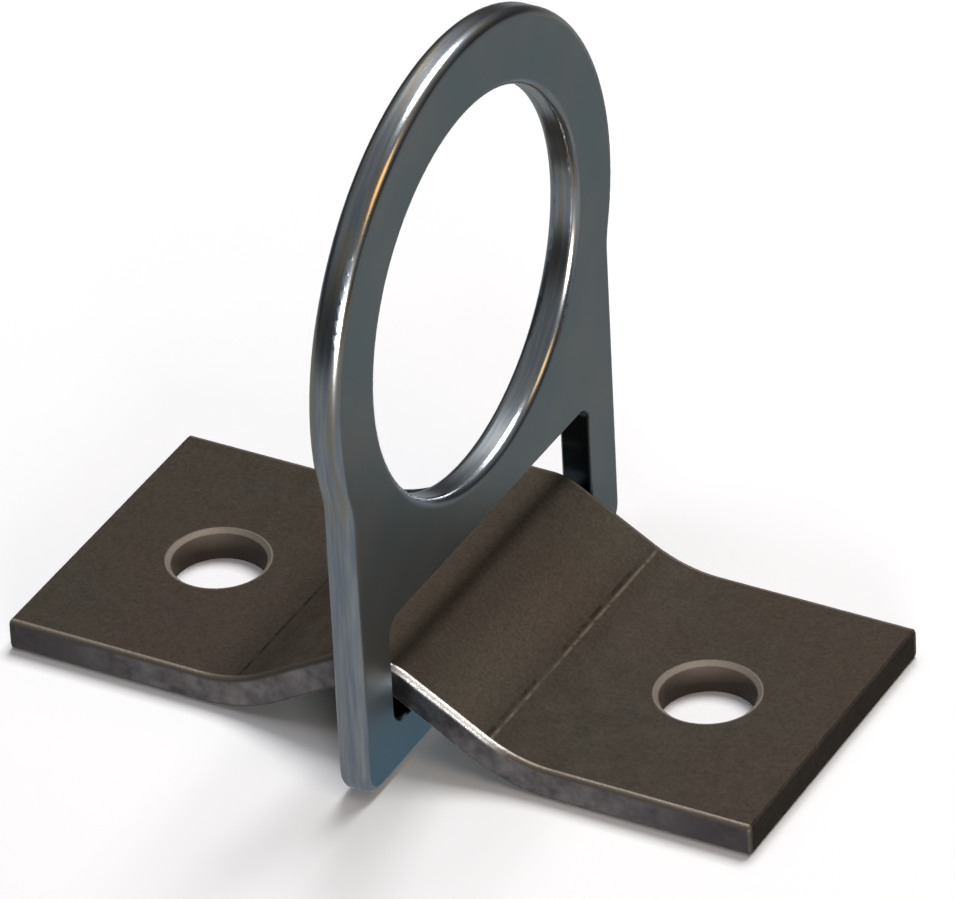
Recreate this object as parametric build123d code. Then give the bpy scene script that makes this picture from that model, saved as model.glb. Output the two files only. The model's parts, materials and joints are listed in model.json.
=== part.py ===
"""Pivoting anchor ring: a flat steel ring plate held down by a bent mounting strap.

Millimetres.  +Z is up, the mounting surface is Z = 0 and the origin is midway between
the two bolt holes.  X runs along the strap and Y across it.

The strap is one flat bar bent into a low arch between two bolted feet.  The ring plate
has a round eye above and a long slot below.  The strap passes through the slot, so the
bar that closes the bottom of the slot is captive under the arch, and the plate tips
over to either side about that bar.
"""
from build123d import *
from math import cos, hypot, radians, sin, tan
import os

# ---- mounting strap, 2 in x 3/16 in hot-rolled flat bar ----
strap_width = 50.8
strap_thickness = 4.76
bolt_pitch = 76.2              # between the centres of the two bolt holes
end_margin = 19.05             # from a bolt hole's centre to the cut end
bolt_hole_diameter = 13.5      # 17/32 in, for a 1/2 in bolt
crown_length = 5.0             # flat underside of the arch, corner to corner
arch_slope = 30.0              # degrees from the mounting surface
crown_bend_radius = 3.2        # inside radius of the two bends beside the crown
foot_bend_radius = 20.0        # inside radius of the two bends above the feet
rolled_edge = 0.9              # mill-rounded long edges of the flat bar
cut_edge = 0.3                 # broken edges of the two cut ends
punched_lip = 0.6              # edge drawn in where the punch entered a bolt hole

# ---- ring plate, 3/16 in plate ----
ring_thickness = 4.76
eye_diameter = 56.6
rim_width = 10.7               # from the eye to the outer edge of the round part
outer_rounding = 1.5           # outer edges of the round part, the legs and the bar
eye_rounding = 1.3
neck_radius = 15.0             # hollow between the round part and each leg
neck_step = 2.1                # least that the round part stands out past a leg
web_height = 7.4               # between the top of the slot and the eye
leg_width = 8.35               # beside each end of the slot
bar_height = 7.75              # the captive bar under the slot
slot_corner_radius = 2.5
foot_corner_radius = 4.0
deburr = 0.4                   # broken edges of the slot

# ---- clearances between the two ----
side_clearance = 3.15          # slot end to strap edge, each side
floor_clearance = 0.2          # swinging bar to the mounting surface
crown_clearance = 1.85         # swinging bar to the underside of the crown
slope_clearance = 0.6          # swinging bar to the slope that it stands beside
slot_headroom = 9.65           # top of the crown to the top of the slot

# ---- sizes and places that follow ----
slope = radians(arch_slope)
foot_swing = outer_rounding + hypot(bar_height / 2 - outer_rounding, ring_thickness / 2 - outer_rounding)
swing_radius = hypot(bar_height / 2, ring_thickness / 2 - deburr)
pivot_z = foot_swing + floor_clearance
arch_height = pivot_z + swing_radius + crown_clearance
crown_drop = arch_height - pivot_z
pivot_x = crown_length / 2 - (swing_radius + slope_clearance - crown_drop * cos(slope)) / sin(slope)

strap_length = bolt_pitch + 2 * end_margin
bend_shift = strap_thickness * tan(slope / 2)

plate_foot = pivot_z - bar_height / 2
slot_bottom = pivot_z + bar_height / 2
slot_top = arch_height + strap_thickness + slot_headroom
slot_length = strap_width + 2 * side_clearance
base_width = slot_length + 2 * leg_width
eye_radius = eye_diameter / 2
eye_z = slot_top + web_height + eye_radius
ring_radius = max(eye_radius + rim_width, base_width / 2 + neck_step)


def arch_line(lift, shift, crown_radius, foot_radius):
    """One face of the bent bar from the side: foot, slope, crown, slope, foot."""
    crown_x = crown_length / 2 + shift
    foot_x = crown_x + arch_height / tan(slope)
    right = [(crown_x, lift + arch_height), (foot_x, lift), (strap_length / 2, lift)]
    left = [(-x, z) for x, z in reversed(right)]
    return FilletPolyline(*left, *right, radius=[foot_radius, crown_radius, crown_radius, foot_radius])


def make_mounting_strap():
    """The bent bar, with its long edges rolled, its ends cut and its holes punched."""
    half_length = strap_length / 2
    with BuildPart() as strap:
        with BuildSketch(Plane.XZ):
            with BuildLine():
                top = arch_line(strap_thickness, bend_shift, crown_bend_radius + strap_thickness,
                                foot_bend_radius)
                underside = arch_line(0, 0, crown_bend_radius, foot_bend_radius + strap_thickness)
                Line(top @ 0, underside @ 0)
                Line(top @ 1, underside @ 1)
            make_face()
        extrude(amount=strap_width / 2, both=True)
        sides = strap.faces().filter_by(Axis.Y).edges()
        fillet([edge for edge in sides if abs(edge.center().X) < half_length - 0.01], rolled_edge)
        ends = strap.faces().filter_by(Axis.X).edges()
        chamfer(ends, cut_edge)
        with Locations((-bolt_pitch / 2, 0, strap_thickness), (bolt_pitch / 2, 0, strap_thickness)):
            Hole(bolt_hole_diameter / 2)
        rims = [edge for edge in strap.edges().filter_by(GeomType.CIRCLE)
                if abs(edge.center().Z - strap_thickness) < 0.01]
        chamfer(rims, punched_lip)
    return strap.part


def make_ring_plate():
    """Legs and a round part run together through a hollow at each side, then the eye and slot."""
    with BuildPart() as ring:
        with BuildSketch(Plane.YZ) as outline:
            with Locations((0, (plate_foot + eye_z) / 2)):
                Rectangle(base_width, eye_z - plate_foot)
            fillet(outline.vertices().group_by(Axis.Y)[0], foot_corner_radius)
            with Locations((0, eye_z)):
                Circle(ring_radius)
            fillet(outline.vertices().group_by(Axis.Y)[-1], neck_radius)
        extrude(amount=ring_thickness / 2, both=True)
        fillet(ring.faces().filter_by(Axis.X).edges(), outer_rounding)
        with BuildSketch(Plane.YZ):
            with Locations((0, eye_z)):
                Circle(eye_radius)
        extrude(amount=ring_thickness / 2, both=True, mode=Mode.SUBTRACT)
        eye_edges = [edge for edge in ring.edges().filter_by(GeomType.CIRCLE)
                     if abs(edge.radius - eye_radius) < 0.01]
        fillet(eye_edges, eye_rounding)
        with BuildSketch(Plane.YZ):
            with Locations((0, (slot_bottom + slot_top) / 2)):
                RectangleRounded(slot_length, slot_top - slot_bottom, slot_corner_radius)
        extrude(amount=ring_thickness / 2, both=True, mode=Mode.SUBTRACT)
        reach = slot_length / 2 + 0.01
        mouth = [edge for edge in ring.faces().filter_by(Axis.X).edges()
                 if abs(edge.center().Y) < reach and slot_bottom - 0.01 < edge.center().Z < slot_top + 0.01]
        chamfer(mouth, deburr)
    return ring.part.moved(Location((pivot_x, 0, 0)))


os.makedirs("parts", exist_ok=True)
for name, make in (("mounting_strap", make_mounting_strap), ("ring_plate", make_ring_plate)):
    piece = make()
    piece.label = name
    export_step(piece, f"parts/{name}.step")
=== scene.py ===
"""Looks for the pivoting anchor ring: a hot-rolled mounting strap and a zinc-plated ring plate.

Everything is in metres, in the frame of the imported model: +Z up from the mounting surface,
X along the strap, Y across it, and the origin midway between the two bolt holes.  The front
is the -Y side.
"""
import json
import math

import bpy
from mathutils import Matrix, Vector


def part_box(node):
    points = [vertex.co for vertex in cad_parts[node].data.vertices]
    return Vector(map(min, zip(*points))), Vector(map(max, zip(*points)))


MM = 0.001

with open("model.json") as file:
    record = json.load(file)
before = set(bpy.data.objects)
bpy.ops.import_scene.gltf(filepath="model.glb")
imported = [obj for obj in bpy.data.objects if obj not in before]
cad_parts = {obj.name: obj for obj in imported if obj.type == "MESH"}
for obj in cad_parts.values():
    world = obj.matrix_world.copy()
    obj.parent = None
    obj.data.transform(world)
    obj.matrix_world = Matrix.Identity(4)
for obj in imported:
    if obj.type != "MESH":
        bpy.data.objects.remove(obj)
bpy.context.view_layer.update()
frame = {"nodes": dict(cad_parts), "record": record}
strap = frame["nodes"]["mounting_strap"]
ring = frame["nodes"]["ring_plate"]
strap_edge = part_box("mounting_strap")[1].y
ring_low, ring_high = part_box("ring_plate")
plate_half = (ring_high.x - ring_low.x) / 2
mounts = {mount["name"]: mount for mount in frame["record"]["mounts"]}
plate_middle = mounts["eye"]["pos_m"][0]
hole_x = mounts["bolts"]["dims"]["spacing_x_mm"] * MM / 2
hole_radius = mounts["bolts"]["dims"]["hole_r_mm"] * MM
# The ring plate's slot: half its length along Y, and where it starts and ends along Z.
slot_end = 28.55 * MM
slot_bottom, slot_top = 8.108 * MM, 24.844 * MM

# The press brake's marks across the strap: place along X and half width in mm, and colour.
# A pale scuff with a dark lip on the right slope, and a dark nick line on the left foot.
PRESS_MARKS = ((18.0, 0.28, "#5f5848"), (17.4, 0.40, "#1c1814"), (-21.0, 0.45, "#110e0c"))

# Numbered sockets, since several of these share a name.
VALUE, FROM_LOW, FROM_HIGH, TO_LOW, TO_HIGH = range(5)      # of Map Range
MIX, COLOUR_A, COLOUR_B = 0, 6, 7                           # of Mix, between colours
VALUE_A, VALUE_B = 2, 3                                     # of Mix, between values


# ---------------------------------------------------------------- helpers

def linear(hex_colour):
    """An sRGB hex colour as the linear RGBA that Blender takes."""
    channels = [int(hex_colour[i:i + 2], 16) / 255 for i in (1, 3, 5)]
    return tuple(c / 12.92 if c <= 0.04045 else ((c + 0.055) / 1.055) ** 2.4
                 for c in channels) + (1.0,)


def marks(millimetres):
    """The texture scale that draws marks about this many millimetres across."""
    return 1 / (millimetres * MM)


def add_node(owner, kind, inputs=None, **settings):
    """Adds one node to a material or the world: settings are its options, inputs are fixed
    values or other nodes' outputs, by socket name or number."""
    made = owner.node_tree.nodes.new(kind)
    for option, choice in settings.items():
        setattr(made, option, choice)
    for socket, source in (inputs or {}).items():
        if isinstance(source, bpy.types.NodeSocket):
            owner.node_tree.links.new(source, made.inputs[socket])
        else:
            made.inputs[socket].default_value = source
    return made


def start_material(name, **fixed):
    """A new material and its shader, with the values that are the same all over set on it."""
    material = bpy.data.materials.new(name)
    material.use_nodes = True
    shader = material.node_tree.nodes["Principled BSDF"]
    for socket, value in fixed.items():
        shader.inputs[socket.replace("_", " ")].default_value = value
    return material, shader


def feed(material, shader, **outputs):
    """Joins node outputs to the shader's sockets."""
    for socket, output in outputs.items():
        material.node_tree.links.new(output, shader.inputs[socket.replace("_", " ")])


# ---------------------------------------------------------------- materials

def make_mill_scale():
    """Hot-rolled steel with its mill scale: a dull brown-grey oxide skin, finely grained and
    faintly blotched, and painted lighter on the raised part, as painted light.  A painted
    highlight runs along one long edge, which is bare and smoother there.  It is scuffed where the
    bar was bent, lighter on its sides, and torn to bare metal inside the punched holes."""
    material, shader = start_material("hot_rolled_mill_scale")
    place = add_node(material, "ShaderNodeTexCoord").outputs["Object"]
    axes = add_node(material, "ShaderNodeSeparateXYZ", {0: place})
    along = add_node(material, "ShaderNodeMath", {0: axes.outputs["X"]}, operation="ABSOLUTE")
    across = add_node(material, "ShaderNodeMath", {0: axes.outputs["Y"]}, operation="ABSOLUTE")

    # Oxide grain is under 0.1 mm, too fine to show, so it is drawn 0.5 mm across.
    grain = add_node(material, "ShaderNodeTexNoise", {
        "Vector": place, "Scale": marks(0.5), "Detail": 3.0, "Roughness": 0.65})
    # Blotches where scale lifted and the strip cooled unevenly, 3 mm across.
    blotch = add_node(material, "ShaderNodeTexNoise", {
        "Vector": place, "Scale": marks(3), "Detail": 4.0, "Roughness": 0.6})
    # Wide tone changes along the bar, about 25 mm.
    drift = add_node(material, "ShaderNodeTexNoise", {
        "Vector": place, "Scale": marks(25), "Detail": 2.0})
    # Rolling lines run along the bar: 0.7 mm apart, and 14 times as long.
    drawn_out = add_node(material, "ShaderNodeMapping", {
        "Vector": place, "Scale": (0.07, 1.0, 1.0)})
    rolling = add_node(material, "ShaderNodeTexNoise", {
        "Vector": drawn_out.outputs[0], "Scale": marks(0.7), "Detail": 2.0})

    # The scale's colour: two browns in blotches, a drift towards olive, then the grain over both.
    blotch_amount = add_node(material, "ShaderNodeMapRange", {
        VALUE: blotch.outputs["Fac"], FROM_LOW: 0.32, FROM_HIGH: 0.68})
    brown = add_node(material, "ShaderNodeMix", {
        MIX: blotch_amount.outputs[0], COLOUR_A: linear("#312923"), COLOUR_B: linear("#393129")},
        data_type="RGBA")
    drift_amount = add_node(material, "ShaderNodeMapRange", {
        VALUE: drift.outputs["Fac"], FROM_LOW: 0.4, FROM_HIGH: 0.65, TO_HIGH: 0.7})
    olive = add_node(material, "ShaderNodeMix", {
        MIX: drift_amount.outputs[0], COLOUR_A: brown.outputs[2], COLOUR_B: linear("#332f28")},
        data_type="RGBA")
    grain_amount = add_node(material, "ShaderNodeMapRange", {
        VALUE: grain.outputs["Fac"], FROM_LOW: 0.3, FROM_HIGH: 0.7, TO_LOW: 0.74, TO_HIGH: 1.26})
    # The raised part is painted lighter: painted light, lifting the shade it lies in under the
    # ring.
    painted_light_lift = add_node(material, "ShaderNodeMapRange", {
        VALUE: axes.outputs["Z"], FROM_LOW: 6 * MM, FROM_HIGH: 10 * MM, TO_LOW: 1.0, TO_HIGH: 1.5},
        interpolation_type="SMOOTHSTEP")
    strength = add_node(material, "ShaderNodeMath", {
        0: grain_amount.outputs[0], 1: painted_light_lift.outputs[0]}, operation="MULTIPLY")
    grained = add_node(material, "ShaderNodeVectorMath", {
        0: olive.outputs[2], "Scale": strength.outputs[0]}, operation="SCALE")

    # The press brake's marks, broken up along their length.
    broken = add_node(material, "ShaderNodeMapRange", {
        VALUE: blotch.outputs["Fac"], FROM_LOW: 0.42, FROM_HIGH: 0.56, TO_LOW: 0.2})
    marked = grained.outputs[0]
    for mark_x, half_width, colour in PRESS_MARKS:
        aside = add_node(material, "ShaderNodeMath", {
            0: axes.outputs["X"], 1: mark_x * MM}, operation="SUBTRACT")
        aside = add_node(material, "ShaderNodeMath", {0: aside.outputs[0]}, operation="ABSOLUTE")
        line = add_node(material, "ShaderNodeMapRange", {
            VALUE: aside.outputs[0], FROM_LOW: half_width * MM, FROM_HIGH: 0.2 * half_width * MM,
            TO_HIGH: 0.8}, interpolation_type="SMOOTHSTEP")
        line = add_node(material, "ShaderNodeMath", {
            0: line.outputs[0], 1: broken.outputs[0]}, operation="MULTIPLY")
        marked = add_node(material, "ShaderNodeMix", {
            MIX: line.outputs[0], COLOUR_A: marked, COLOUR_B: linear(colour)},
            data_type="RGBA").outputs[2]

    # The rolled long edges, from the flat of the bar round to its side.
    edge = add_node(material, "ShaderNodeMapRange", {
        VALUE: across.outputs[0],
        FROM_LOW: strap_edge - 1.0 * MM, FROM_HIGH: strap_edge - 0.75 * MM})
    # The front edge of the right slope is painted near white, a painted highlight, and is bare and
    # smoother there; the other edges stay dull.
    raised = add_node(material, "ShaderNodeMapRange", {
        VALUE: axes.outputs["Z"], FROM_LOW: 5.2 * MM, FROM_HIGH: 8.5 * MM},
        interpolation_type="SMOOTHSTEP")
    right = add_node(material, "ShaderNodeMapRange", {
        VALUE: axes.outputs["X"], FROM_LOW: -1 * MM, FROM_HIGH: 4 * MM})
    front = add_node(material, "ShaderNodeMath", {
        0: axes.outputs["Y"], 1: 0.0}, operation="LESS_THAN")
    highlight_and_bare_edge = add_node(material, "ShaderNodeMath", {
        0: raised.outputs[0], 1: right.outputs[0]}, operation="MULTIPLY")
    highlight_and_bare_edge = add_node(material, "ShaderNodeMath", {
        0: highlight_and_bare_edge.outputs[0], 1: front.outputs[0]}, operation="MULTIPLY")
    # The near-white colour is a painted highlight; the dull tone is the edges' lighter wear.
    edge_wear_and_highlight = add_node(material, "ShaderNodeMix", {
        MIX: highlight_and_bare_edge.outputs[0], COLOUR_A: linear("#5f574f"), COLOUR_B: linear("#f2f0ee")},
        data_type="RGBA")
    edged = add_node(material, "ShaderNodeMix", {
        MIX: edge.outputs[0], COLOUR_A: marked, COLOUR_B: edge_wear_and_highlight.outputs[2]}, data_type="RGBA")

    # The bar's sides: a greyer scale in blotches, lighter between the two feet.
    side = add_node(material, "ShaderNodeMapRange", {
        VALUE: across.outputs[0],
        FROM_LOW: strap_edge - 0.14 * MM, FROM_HIGH: strap_edge - 0.02 * MM})
    middle = add_node(material, "ShaderNodeMapRange", {
        VALUE: along.outputs[0], FROM_LOW: 56 * MM, FROM_HIGH: 32 * MM},
        interpolation_type="SMOOTHSTEP")
    side_tone = add_node(material, "ShaderNodeMix", {
        MIX: middle.outputs[0], COLOUR_A: linear("#474143"), COLOUR_B: linear("#8a8483")},
        data_type="RGBA")
    side_tone = add_node(material, "ShaderNodeMix", {
        MIX: blotch_amount.outputs[0], COLOUR_A: linear("#5b5556"),
        COLOUR_B: side_tone.outputs[2]}, data_type="RGBA")
    sided = add_node(material, "ShaderNodeMix", {
        MIX: side.outputs[0], COLOUR_A: edged.outputs[2], COLOUR_B: side_tone.outputs[2]},
        data_type="RGBA")

    # The punched holes, by how far a point is from the nearer hole's axis: a pale drawn-in lip
    # round each mouth, and bare torn metal inside.
    from_hole = add_node(material, "ShaderNodeMath", {
        0: along.outputs[0], 1: hole_x}, operation="SUBTRACT")
    flat_place = add_node(material, "ShaderNodeCombineXYZ", {
        0: from_hole.outputs[0], 1: axes.outputs["Y"]})
    hole_distance = add_node(material, "ShaderNodeVectorMath", {
        0: flat_place.outputs[0]}, operation="LENGTH").outputs["Value"]
    lip = add_node(material, "ShaderNodeMapRange", {
        VALUE: hole_distance, FROM_LOW: hole_radius + 0.9 * MM, FROM_HIGH: hole_radius + 0.5 * MM,
        TO_HIGH: 0.75})
    bore = add_node(material, "ShaderNodeMapRange", {
        VALUE: hole_distance,
        FROM_LOW: hole_radius + 0.12 * MM, FROM_HIGH: hole_radius + 0.03 * MM})
    lipped = add_node(material, "ShaderNodeMix", {
        MIX: lip.outputs[0], COLOUR_A: sided.outputs[2], COLOUR_B: linear("#8a8178")},
        data_type="RGBA")
    bored = add_node(material, "ShaderNodeMix", {
        MIX: bore.outputs[0], COLOUR_A: lipped.outputs[2], COLOUR_B: linear("#6b5f57")},
        data_type="RGBA")

    # Scale is dull and only partly metallic; rolled edges are smoother, and bare under the painted
    # highlight.
    bare = add_node(material, "ShaderNodeMath", {
        0: highlight_and_bare_edge.outputs[0], 1: edge.outputs[0]}, operation="MULTIPLY")
    metal = add_node(material, "ShaderNodeMapRange", {VALUE: bare.outputs[0], TO_LOW: 0.85})
    rough = add_node(material, "ShaderNodeMapRange", {
        VALUE: blotch.outputs["Fac"], FROM_LOW: 0.3, FROM_HIGH: 0.7, TO_LOW: 0.68, TO_HIGH: 0.8})
    rough = add_node(material, "ShaderNodeMix", {
        MIX: edge.outputs[0], VALUE_A: rough.outputs[0], VALUE_B: 0.5})
    rough = add_node(material, "ShaderNodeMix", {
        MIX: bare.outputs[0], VALUE_A: rough.outputs[0], VALUE_B: 0.4})
    relief = add_node(material, "ShaderNodeMath", {
        0: grain.outputs["Fac"], 1: rolling.outputs["Fac"]}, operation="ADD")
    bump = add_node(material, "ShaderNodeBump", {
        "Strength": 0.6, "Distance": 0.08 * MM, "Height": relief.outputs[0]})
    feed(material, shader, Base_Color=bored.outputs[2], Metallic=metal.outputs[0],
         Roughness=rough.outputs[0], Normal=bump.outputs[0])
    return material


def make_zinc_plate():
    """Bright zinc electroplate: a cloudy blue-grey satin on the flat faces, and almost a mirror on
    the rounded edges, with fine streaks along them.  A warm tint high on the rim is a painted
    reflection; the passivation pools blue at one corner of the foot.  The slot's walls get painted
    shade."""
    material, shader = start_material("bright_zinc_plate", Metallic=1.0)
    place = add_node(material, "ShaderNodeTexCoord").outputs["Object"]
    axes = add_node(material, "ShaderNodeSeparateXYZ", {0: place})
    across = add_node(material, "ShaderNodeMath", {0: axes.outputs["Y"]}, operation="ABSOLUTE")

    # Cloudy plating, about 14 mm across, and the plate's satin grain, which is finer than shows
    # and so is drawn 0.5 mm across.
    cloud = add_node(material, "ShaderNodeTexNoise", {
        "Vector": place, "Scale": marks(14), "Detail": 3.0, "Roughness": 0.45})
    satin = add_node(material, "ShaderNodeTexNoise", {
        "Vector": place, "Scale": marks(0.5), "Detail": 2.0})

    # The flat faces.
    cloud_amount = add_node(material, "ShaderNodeMapRange", {
        VALUE: cloud.outputs["Fac"], FROM_LOW: 0.35, FROM_HIGH: 0.65})
    flat_tone = add_node(material, "ShaderNodeMix", {
        MIX: cloud_amount.outputs[0], COLOUR_A: linear("#8b9799"), COLOUR_B: linear("#9d9d9b")},
        data_type="RGBA")
    # The passivation pools blue at the front corner of the foot, which hung lowest in the bath.
    low = add_node(material, "ShaderNodeMapRange", {
        VALUE: axes.outputs["Z"], FROM_LOW: 26 * MM, FROM_HIGH: 4 * MM, TO_HIGH: 0.75},
        interpolation_type="SMOOTHSTEP")
    front = add_node(material, "ShaderNodeMapRange", {
        VALUE: axes.outputs["Y"], FROM_LOW: 12 * MM, FROM_HIGH: -24 * MM},
        interpolation_type="SMOOTHSTEP")
    pooled = add_node(material, "ShaderNodeMath", {
        0: low.outputs[0], 1: front.outputs[0]}, operation="MULTIPLY")
    blued = add_node(material, "ShaderNodeMix", {
        MIX: pooled.outputs[0], COLOUR_A: flat_tone.outputs[2], COLOUR_B: linear("#5f8ea6")},
        data_type="RGBA")

    # The rounded edges and bores.  Die streaks, 0.5 mm wide, run long in the plate's own plane.
    drawn_out = add_node(material, "ShaderNodeMapping", {
        "Vector": place, "Scale": (1.0, 0.06, 0.06)})
    streak = add_node(material, "ShaderNodeTexNoise", {
        "Vector": drawn_out.outputs[0], "Scale": marks(0.5), "Detail": 2.0})
    streak_amount = add_node(material, "ShaderNodeMapRange", {
        VALUE: streak.outputs["Fac"], FROM_LOW: 0.35, FROM_HIGH: 0.65})
    streaked = add_node(material, "ShaderNodeMix", {
        MIX: streak_amount.outputs[0], COLOUR_A: linear("#a6aeb9"), COLOUR_B: linear("#c2c4c4")},
        data_type="RGBA")
    # Wider streaks of a warm tint, on the round part only: a painted reflection of warm
    # surroundings.
    warm_reflection_streak = add_node(material, "ShaderNodeTexNoise", {
        "Vector": drawn_out.outputs[0], "Scale": marks(0.9), "Detail": 1.0})
    warm_reflection_amount = add_node(material, "ShaderNodeMapRange", {
        VALUE: warm_reflection_streak.outputs["Fac"], FROM_LOW: 0.46, FROM_HIGH: 0.6, TO_HIGH: 0.5})
    high = add_node(material, "ShaderNodeMapRange", {
        VALUE: axes.outputs["Z"], FROM_LOW: 38 * MM, FROM_HIGH: 52 * MM},
        interpolation_type="SMOOTHSTEP")
    warm_reflection_amount = add_node(material, "ShaderNodeMath", {
        0: warm_reflection_amount.outputs[0], 1: high.outputs[0]}, operation="MULTIPLY")
    warm_reflected = add_node(material, "ShaderNodeMix", {
        MIX: warm_reflection_amount.outputs[0], COLOUR_A: streaked.outputs[2], COLOUR_B: linear("#b5a37f")},
        data_type="RGBA")

    # From the middle of the plate's thickness: 0 on the flat faces, 1 on what lies between them.
    depth = add_node(material, "ShaderNodeMath", {
        0: axes.outputs["X"], 1: plate_middle}, operation="SUBTRACT")
    depth = add_node(material, "ShaderNodeMath", {0: depth.outputs[0]}, operation="ABSOLUTE")
    rounded = add_node(material, "ShaderNodeMapRange", {
        VALUE: depth.outputs[0],
        FROM_LOW: plate_half - 0.02 * MM, FROM_HIGH: plate_half - 0.15 * MM})
    plated = add_node(material, "ShaderNodeMix", {
        MIX: rounded.outputs[0], COLOUR_A: blued.outputs[2], COLOUR_B: warm_reflected.outputs[2]},
        data_type="RGBA")

    # The slot's walls are painted dark: painted shade inside the slot.  They are within the slot's
    # ends, top and bottom.
    in_slot = rounded
    length, height = across.outputs[0], axes.outputs["Z"]
    for measure, wall, outwards in (
            (length, slot_end, 1), (height, slot_top, 1), (height, slot_bottom, -1)):
        within = add_node(material, "ShaderNodeMapRange", {
            VALUE: measure,
            FROM_LOW: wall + outwards * 0.25 * MM, FROM_HIGH: wall + outwards * 0.1 * MM})
        in_slot = add_node(material, "ShaderNodeMath", {
            0: in_slot.outputs[0], 1: within.outputs[0]}, operation="MULTIPLY")
    painted_slot_shade = add_node(material, "ShaderNodeMix", {
        MIX: in_slot.outputs[0], COLOUR_A: plated.outputs[2], COLOUR_B: linear("#3d464b")},
        data_type="RGBA")

    rough = add_node(material, "ShaderNodeMix", {
        MIX: rounded.outputs[0], VALUE_A: 0.4, VALUE_B: 0.23})
    bump = add_node(material, "ShaderNodeBump", {
        "Strength": 0.15, "Distance": 0.02 * MM, "Height": satin.outputs["Fac"]})
    feed(material, shader, Base_Color=painted_slot_shade.outputs[2], Roughness=rough.outputs[0],
         Normal=bump.outputs[0])
    return material


def make_floor_paint():
    """Matt white board: nothing but a clean pale ground for the shadows."""
    material, _ = start_material(
        "matt_white_board", Base_Color=linear("#bababa"), Roughness=0.9, Specular_IOR_Level=0.0)
    return material


# ---------------------------------------------------------------- stage

def make_backdrop():
    """A round white floor that the strap stands on, Z = 0, curving up into a wall far behind.
    Shiny surfaces don't mirror it: they mirror the dark studio and its lights."""
    floor_radius, bend_radius, wall_height = 3.2, 1.0, 4.0
    turns, bend_steps = 64, 8
    profile = [(0.02, 0.0), (0.5, 0.0), (floor_radius, 0.0)]
    for step in range(1, bend_steps + 1):
        bend = step * math.pi / 2 / bend_steps
        profile.append((floor_radius + bend_radius * math.sin(bend),
                        bend_radius * (1 - math.cos(bend))))
    profile.append((floor_radius + bend_radius, wall_height))

    points = [(0.0, 0.0, 0.0)]
    for radius, height in profile:
        for turn in range(turns):
            angle = math.tau * turn / turns
            points.append((radius * math.cos(angle), radius * math.sin(angle), height))
    faces = [(0, 1 + i, 1 + (i + 1) % turns) for i in range(turns)]
    for row in range(len(profile) - 1):
        inner, outer = 1 + row * turns, 1 + (row + 1) * turns
        for i in range(turns):
            following = (i + 1) % turns
            faces.append((inner + i, outer + i, outer + following, inner + following))

    mesh = bpy.data.meshes.new("backdrop")
    mesh.from_pydata(points, [], faces)
    mesh.shade_smooth()
    mesh.materials.append(make_floor_paint())
    backdrop = bpy.data.objects.new("backdrop", mesh)
    backdrop.visible_glossy = False
    bpy.context.scene.collection.objects.link(backdrop)


def direction(azimuth, elevation):
    """The unit vector from the object towards a place round it, azimuth 0 being in front, -Y."""
    a, e = math.radians(azimuth), math.radians(elevation)
    return Vector((math.sin(a) * math.cos(e), -math.cos(a) * math.cos(e), math.sin(e)))


def make_softbox(name, azimuth, elevation, distance, width, height, power,
                 colour="#ffffff", mirrored=True):
    """A rectangular soft light that faces the object.  If it isn't mirrored, it lights the object
    and the floor, but no metal reflects it."""
    lamp = bpy.data.lights.new(name, "AREA")
    lamp.shape = "RECTANGLE"
    lamp.size, lamp.size_y = width, height
    lamp.energy = power
    lamp.color = linear(colour)[:3]
    box = bpy.data.objects.new(name, lamp)
    aim = Vector((0, 0, 30)) * MM
    towards = direction(azimuth, elevation)
    box.location = aim + towards * distance
    box.visible_glossy = mirrored
    box.rotation_mode = "QUATERNION"
    box.rotation_quaternion = towards.to_track_quat("Z", "Y")
    bpy.context.scene.collection.objects.link(box)


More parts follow.
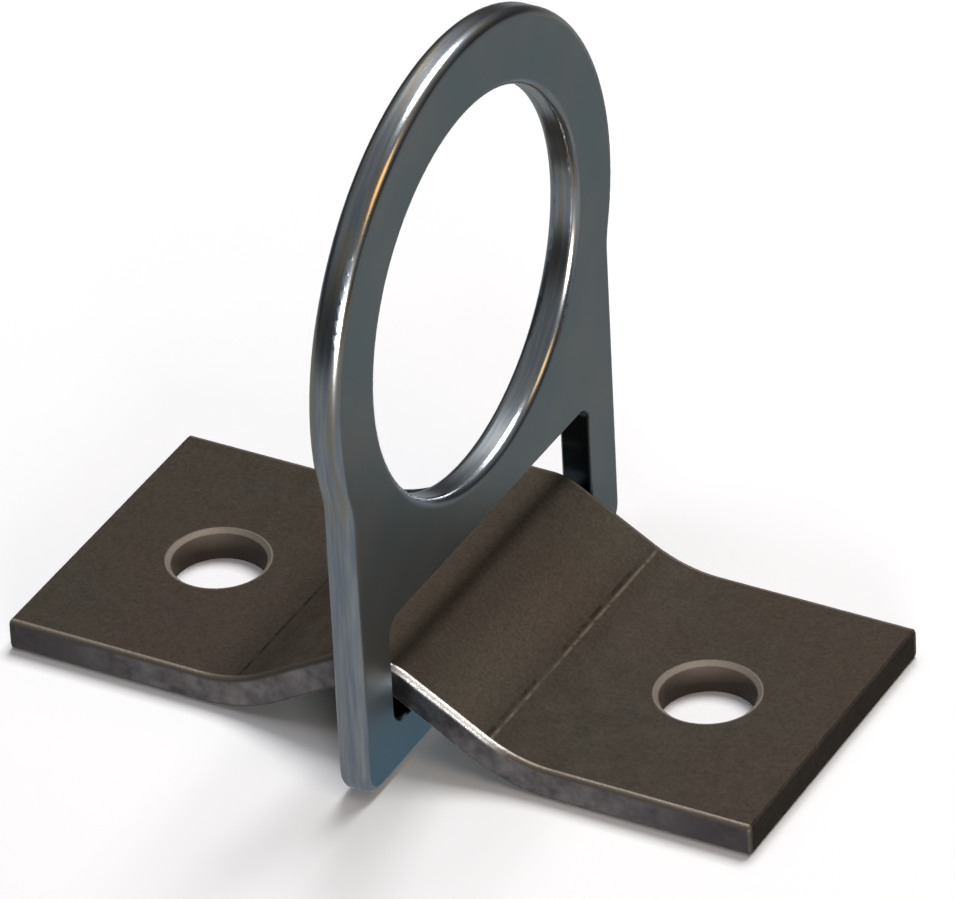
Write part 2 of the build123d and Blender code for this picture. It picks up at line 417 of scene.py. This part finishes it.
def make_studio_air():
    """What the metal mirrors besides the lights: a dim grey below, as of a lit floor, dark walls
    at eye level, and a dim grey ceiling."""
    world = bpy.data.worlds.new("studio")
    bpy.context.scene.world = world
    world.use_nodes = True
    background = world.node_tree.nodes["Background"]
    place = add_node(world, "ShaderNodeTexCoord").outputs["Generated"]
    height = add_node(world, "ShaderNodeSeparateXYZ", {0: place}).outputs["Z"]
    ground = add_node(world, "ShaderNodeMapRange", {
        VALUE: height, FROM_LOW: -0.30, FROM_HIGH: -0.02, TO_LOW: 0.34, TO_HIGH: 0.04},
        interpolation_type="SMOOTHSTEP")
    ceiling = add_node(world, "ShaderNodeMapRange", {
        VALUE: height, FROM_LOW: 0.15, FROM_HIGH: 0.6, TO_LOW: 0.0, TO_HIGH: 0.16},
        interpolation_type="SMOOTHSTEP")
    glow = add_node(world, "ShaderNodeMath", {
        0: ground.outputs[0], 1: ceiling.outputs[0]}, operation="ADD")
    world.node_tree.links.new(glow.outputs[0], background.inputs["Strength"])
    background.inputs["Color"].default_value = linear("#e4ebf0")


def make_lights():
    """A window high behind the ring, which throws the shadows forward; a wide ceiling light that
    softens them; a low softbox at the front right, which draws the long highlight down the ring's
    rim; and a gold reflector at the right, which warms the ends of that highlight."""
    make_softbox("window", -177, 65, 1.3, 0.6, 0.6, 27)
    make_softbox("overhead", -90, 84, 1.4, 1.2, 1.2, 11, "#f6f2fb", mirrored=False)
    make_softbox("low_softbox", 36, 7, 1.15, 0.42, 0.22, 14)
    make_softbox("gold_reflector", 75, 43, 1.15, 0.45, 0.45, 2.2, "#e2b468")


def make_camera():
    """Stands 30 degrees to the right of straight in front and looks down 34 degrees."""
    azimuth, elevation, roll = 29.913, 34.090, -3.045
    distance, target = 1.20966, Vector((8.705, -7.843, 41.0)) * MM
    back = direction(azimuth, elevation)
    level = Vector((0, 0, 1)).cross(back).normalized()
    upright = back.cross(level)
    turn = math.radians(roll)
    right = math.cos(turn) * level + math.sin(turn) * upright
    up = -math.sin(turn) * level + math.cos(turn) * upright
    data = bpy.data.cameras.new("camera")
    data.lens = 340.77
    data.sensor_width = 36
    data.clip_start, data.clip_end = 0.05, 20
    camera = bpy.data.objects.new("camera", data)
    camera.matrix_world = Matrix.Translation(target + back * distance) @ Matrix(
        (right, up, back)).transposed().to_4x4()
    bpy.context.scene.collection.objects.link(camera)
    bpy.context.scene.camera = camera


# ---------------------------------------------------------------- the scene

bpy.context.scene.view_settings.view_transform = "Standard"
strap.data.materials[0] = make_mill_scale()
ring.data.materials[0] = make_zinc_plate()
make_backdrop()
make_studio_air()
make_lights()
make_camera()
